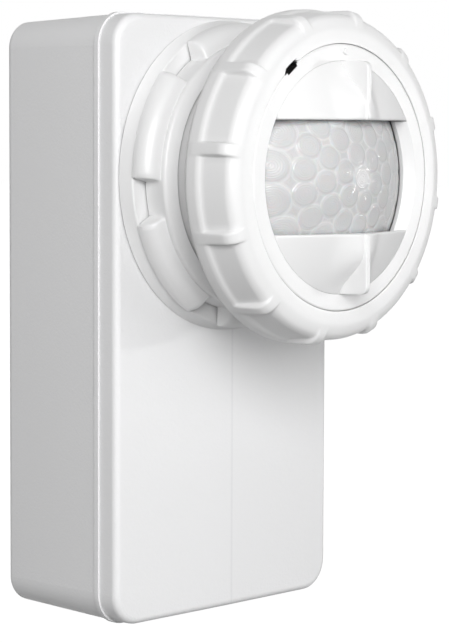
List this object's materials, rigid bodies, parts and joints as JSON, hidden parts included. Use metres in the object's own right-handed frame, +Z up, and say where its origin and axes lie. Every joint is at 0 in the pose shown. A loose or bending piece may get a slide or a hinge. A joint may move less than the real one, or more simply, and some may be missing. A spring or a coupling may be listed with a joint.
{
  "type": "occupancy sensor",
  "caption": "Fixture-mounted occupancy sensor: tall box with a sealed round lens head, screw collar, slotted lens masks and a threaded nipple behind.",
  "frame": {"origin": "on the nipple's axis, in the plane where the nipple's gasket meets the fixture", "axes": "+X across the width, +Y out of the back along the nipple, +Z up the box towards the head"},
  "size_m": [0.0622, 0.0842, 0.1152],
  "materials": {
    "housing_white": "fine satin moulding",
    "head_white": "satin moulding with soft edges",
    "lens_film": "translucent moulded lens",
    "seal_rubber": "soft seal",
    "screw_steel": "zinc plated",
    "nipple_nylon": "nylon",
    "nut_steel": "zinc plated",
    "board_green": "coated board",
    "core_steel": "varnished laminations",
    "coil_tape": "winding tape",
    "relay_case": "moulded case",
    "capacitor_sleeve": "shrunk sleeve",
    "film_case": "cast block",
    "varistor_coat": "dipped coat",
    "fuse_body": "ceramic tube",
    "contact_brass": "plated",
    "header_black": "moulded strip",
    "can_metal": "drawn can",
    "window_filter": "dark filter",
    "trimmer_case": "moulded case",
    "dial_white": "moulded dial",
    "switch_red": "moulded case",
    "led_red": "tinted lamp",
    "cell_face": "sealed face"
  },
  "bodies": {
    "housing": {"rear_housing": "housing_white", "front_cover": "housing_white", "housing_seal": "seal_rubber", "housing_screws": "screw_steel", "threaded_nipple": "nipple_nylon", "nipple_gasket": "seal_rubber", "power_board": "board_green", "power_board_screws": "screw_steel", "transformer_core": "core_steel", "transformer_coil": "coil_tape", "relay": "relay_case", "filter_capacitor": "capacitor_sleeve", "line_capacitor": "film_case", "varistor": "varistor_coat", "fuse": "fuse_body", "lead_terminals": "contact_brass", "link_header": "header_black", "link_pins": "contact_brass", "neck_tube": "head_white", "flange_seal": "seal_rubber", "neck_screws": "screw_steel", "sensor_board": "board_green", "sensor_board_screws": "screw_steel", "pir_sensor": "can_metal", "pir_window": "window_filter", "trimmer_bodies": "trimmer_case", "switch_case": "switch_red", "status_led": "led_red", "photocell": "cell_face"},
    "fixture_washer": {"nipple_washer": "nut_steel"},
    "fixture_locknut": {"locknut": "nut_steel"},
    "lock_ring": {"lock_ring": "head_white"},
    "lens_seat": {"lens_seat": "head_white", "seat_seal": "seal_rubber"},
    "front_collar": {"front_collar": "head_white"},
    "lens_head": {"bezel": "head_white", "lens_dome": "lens_film", "upper_mask": "head_white", "lower_mask": "head_white"},
    "delay_dial": {"delay_dial": "dial_white"},
    "reach_dial": {"reach_dial": "dial_white"},
    "light_dial": {"light_dial": "dial_white"},
    "mode_slider_1": {"mode_slider_1": "dial_white"},
    "mode_slider_2": {"mode_slider_2": "dial_white"},
    "mode_slider_3": {"mode_slider_3": "dial_white"},
    "mode_slider_4": {"mode_slider_4": "dial_white"}
  },
  "joints": [
    {"name": "washer_slide", "type": "slide", "parent": "housing", "child": "fixture_washer", "axis": [0, -1, 0], "range_m": [0, 0.00544]},
    {"name": "locknut_turn", "type": "hinge", "parent": "fixture_washer", "child": "fixture_locknut", "pos_m": [0, 0.0095, 0], "axis": [0, -1, 0], "range_deg": [0, 1080]},
    {"name": "lock_ring_turn", "type": "hinge", "parent": "housing", "child": "lock_ring", "pos_m": [0, -0.039, 0.0538], "axis": [0, -1, 0], "range_deg": [0, 30]},
    {"name": "seat_slide", "type": "slide", "parent": "housing", "child": "lens_seat", "axis": [0, -1, 0], "range_m": [0, 0.003]},
    {"name": "collar_turn", "type": "hinge", "parent": "lens_seat", "child": "front_collar", "pos_m": [0, -0.056, 0.0538], "axis": [0, -1, 0], "range_deg": [0, 180]},
    {"name": "lens_turn", "type": "hinge", "parent": "lens_seat", "child": "lens_head", "pos_m": [0, -0.059, 0.0538], "axis": [0, -1, 0], "range_deg": [-90, 90]},
    {"name": "delay_dial_turn", "type": "hinge", "parent": "housing", "child": "delay_dial", "pos_m": [-0.0125, -0.0425, 0.0538], "axis": [0, -1, 0], "range_deg": [-135, 135]},
    {"name": "reach_dial_turn", "type": "hinge", "parent": "housing", "child": "reach_dial", "pos_m": [0.0125, -0.0425, 0.0538], "axis": [0, -1, 0], "range_deg": [-135, 135]},
    {"name": "light_dial_turn", "type": "hinge", "parent": "housing", "child": "light_dial", "pos_m": [0, -0.0425, 0.0422], "axis": [0, -1, 0], "range_deg": [-135, 135]},
    {"name": "mode_slider_1_slide", "type": "slide", "parent": "housing", "child": "mode_slider_1", "axis": [0, 0, 1], "range_m": [0, 0.002]},
    {"name": "mode_slider_2_slide", "type": "slide", "parent": "housing", "child": "mode_slider_2", "axis": [0, 0, 1], "range_m": [0, 0.002]},
    {"name": "mode_slider_3_slide", "type": "slide", "parent": "housing", "child": "mode_slider_3", "axis": [0, 0, 1], "range_m": [0, 0.002]},
    {"name": "mode_slider_4_slide", "type": "slide", "parent": "housing", "child": "mode_slider_4", "axis": [0, 0, 1], "range_m": [0, 0.002]}
  ],
  "couplings": [
    {"joint": "washer_slide", "follows": "locknut_turn", "m_per_rad": 0.0002887},
    {"joint": "seat_slide", "follows": "collar_turn", "m_per_rad": 0.00095492}
  ]
}
